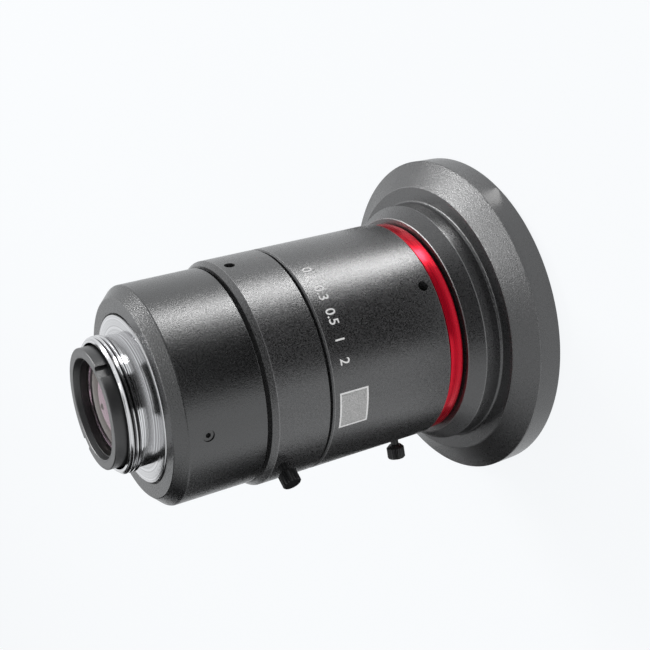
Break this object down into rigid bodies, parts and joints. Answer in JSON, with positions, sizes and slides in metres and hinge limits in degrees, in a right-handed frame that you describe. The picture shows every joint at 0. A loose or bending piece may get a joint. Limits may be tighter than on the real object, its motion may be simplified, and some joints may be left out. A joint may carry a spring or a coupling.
{
  "type": "c-mount machine vision lens",
  "caption": "Wide-angle machine vision lens with a C-mount, black barrel, lockable focus and iris rings, a red ring and a wide front hood.",
  "frame": {"origin": "centre of the front rim's plane, on which the lens stands", "axes": "+Z along the optical axis from the front rim to the C-mount; the camera side of the picture is -Y"},
  "size_m": [0.0644, 0.0644, 0.0806],
  "materials": {
    "black_anodised": "satin black anodised, finely blasted",
    "bright_metal": "bright turned and plated",
    "black_steel": "black oxide",
    "plain_steel": "ground",
    "blade_steel": "blackened",
    "red_anodised": "gloss red anodised",
    "coated_glass": "polished, coated"
  },
  "bodies": {
    "mount_body": {"main_barrel": "black_anodised", "c_mount_ring": "bright_metal", "mount_screws": "black_steel", "ring_spacer": "black_anodised", "focus_retainer": "black_anodised"},
    "lens_carriage": {"front_barrel": "black_anodised", "front_retainer": "black_anodised", "front_element": "coated_glass", "inner_barrel_front": "black_anodised", "guide_pins": "plain_steel", "second_element": "coated_glass", "second_retainer": "black_anodised", "third_element": "coated_glass", "third_retainer": "black_anodised", "inner_barrel_rear": "black_anodised", "iris_base_plate": "black_anodised", "iris_cover_plate": "black_anodised", "doublet_front": "coated_glass", "doublet_rear": "coated_glass", "doublet_spacer": "black_anodised", "relay_element": "coated_glass", "rear_spacer": "black_anodised", "rear_element": "coated_glass", "rear_cell": "black_anodised"},
    "focus_group": {"focus_ring": "black_anodised", "red_ring": "red_anodised"},
    "iris_group": {"iris_ring": "black_anodised", "iris_drive_pin": "plain_steel"},
    "iris_rotor_body": {"iris_rotor": "black_anodised"},
    "iris_lock": {"iris_lock_screw": "black_steel"},
    "focus_lock": {"focus_lock_screw": "black_steel"},
    "blade_1": {"iris_blade_1": "blade_steel"},
    "blade_2": {"iris_blade_2": "blade_steel"},
    "blade_3": {"iris_blade_3": "blade_steel"},
    "blade_4": {"iris_blade_4": "blade_steel"},
    "blade_5": {"iris_blade_5": "blade_steel"},
    "blade_6": {"iris_blade_6": "blade_steel"}
  },
  "joints": [
    {"name": "focus_turn", "type": "hinge", "parent": "mount_body", "child": "focus_group", "pos_m": [0, 0, 0.03], "axis": [0, 0, 1], "range_deg": [0, 110]},
    {"name": "focus_travel", "type": "slide", "parent": "mount_body", "child": "lens_carriage", "axis": [0, 0, 1], "range_m": [-0.0012, 0]},
    {"name": "iris_turn", "type": "hinge", "parent": "mount_body", "child": "iris_group", "pos_m": [0, 0, 0.05], "axis": [0, 0, 1], "range_deg": [0, 50]},
    {"name": "rotor_turn", "type": "hinge", "parent": "lens_carriage", "child": "iris_rotor_body", "pos_m": [0, 0, 0.049], "axis": [0, 0, 1], "range_deg": [0, 50]},
    {"name": "iris_lock_turn", "type": "hinge", "parent": "iris_group", "child": "iris_lock", "pos_m": [0, 0, 0.0523], "axis": [-0.866, -0.5, 0], "range_deg": [0, 360]},
    {"name": "focus_lock_turn", "type": "hinge", "parent": "focus_group", "child": "focus_lock", "pos_m": [0, 0, 0.01985], "axis": [-0.9728, 0.2317, 0], "range_deg": [0, 360]},
    {"name": "blade_1_swing", "type": "hinge", "parent": "lens_carriage", "child": "blade_1", "pos_m": [0.0122, 0, 0.046], "axis": [0, 0, 1], "range_deg": [0, 31]},
    {"name": "blade_2_swing", "type": "hinge", "parent": "lens_carriage", "child": "blade_2", "pos_m": [0.0061, 0.01057, 0.046], "axis": [0, 0, 1], "range_deg": [0, 31]},
    {"name": "blade_3_swing", "type": "hinge", "parent": "lens_carriage", "child": "blade_3", "pos_m": [-0.0061, 0.01057, 0.046], "axis": [0, 0, 1], "range_deg": [0, 31]},
    {"name": "blade_4_swing", "type": "hinge", "parent": "lens_carriage", "child": "blade_4", "pos_m": [-0.0122, 0, 0.046], "axis": [0, 0, 1], "range_deg": [0, 31]},
    {"name": "blade_5_swing", "type": "hinge", "parent": "lens_carriage", "child": "blade_5", "pos_m": [-0.0061, -0.01057, 0.046], "axis": [0, 0, 1], "range_deg": [0, 31]},
    {"name": "blade_6_swing", "type": "hinge", "parent": "lens_carriage", "child": "blade_6", "pos_m": [0.0061, -0.01057, 0.046], "axis": [0, 0, 1], "range_deg": [0, 31]}
  ],
  "couplings": [
    {"joint": "focus_turn", "follows": "focus_travel", "rad_per_m": -1599.9},
    {"joint": "rotor_turn", "follows": "iris_turn", "ratio": 1},
    {"joint": "blade_1_swing", "follows": "iris_turn", "ratio": 0.62},
    {"joint": "blade_2_swing", "follows": "iris_turn", "ratio": 0.62},
    {"joint": "blade_3_swing", "follows": "iris_turn", "ratio": 0.62},
    {"joint": "blade_4_swing", "follows": "iris_turn", "ratio": 0.62},
    {"joint": "blade_5_swing", "follows": "iris_turn", "ratio": 0.62},
    {"joint": "blade_6_swing", "follows": "iris_turn", "ratio": 0.62}
  ]
}
